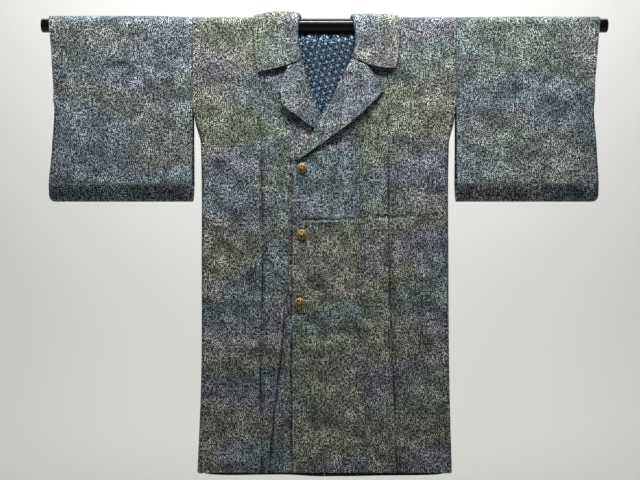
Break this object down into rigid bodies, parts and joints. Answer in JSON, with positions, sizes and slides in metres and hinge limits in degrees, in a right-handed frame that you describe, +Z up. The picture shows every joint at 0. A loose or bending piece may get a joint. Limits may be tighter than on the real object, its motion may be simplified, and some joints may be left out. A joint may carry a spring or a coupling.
{
  "type": "kimono coat hung on a display pole",
  "caption": "Kimono coat with square sleeves, a notched tailored collar and lapels, buttoned left over right, hung flat on a display pole that runs through the sleeves.",
  "frame": {"origin": "on the axis of the display pole, at the middle of the coat: the place where the coat is held", "axes": "+X to the wearer's left along the pole, +Y to the back of the coat, +Z up"},
  "size_m": [1.372, 0.0641, 1.13],
  "materials": {
    "cloth": "dark grey crepe with a fine pale all-over figure and broad soft patches of blue, green, olive and mauve",
    "lining": "navy silk with small pale blue star dots on a fine lattice",
    "pole": "gloss black",
    "button": "antique gold with dark hollows in the relief"
  },
  "bodies": {
    "root": {"pole": "pole", "body_left": "cloth", "body_right": "cloth", "overlap_left": "cloth", "overlap_right": "cloth", "sleeve_left": "cloth", "sleeve_right": "cloth", "collar": "cloth", "lapel_left": "cloth", "lapel_right": "cloth", "lining_back": "lining", "button_1": "button", "button_2": "button", "button_3": "button"}
  },
  "joints": []
}
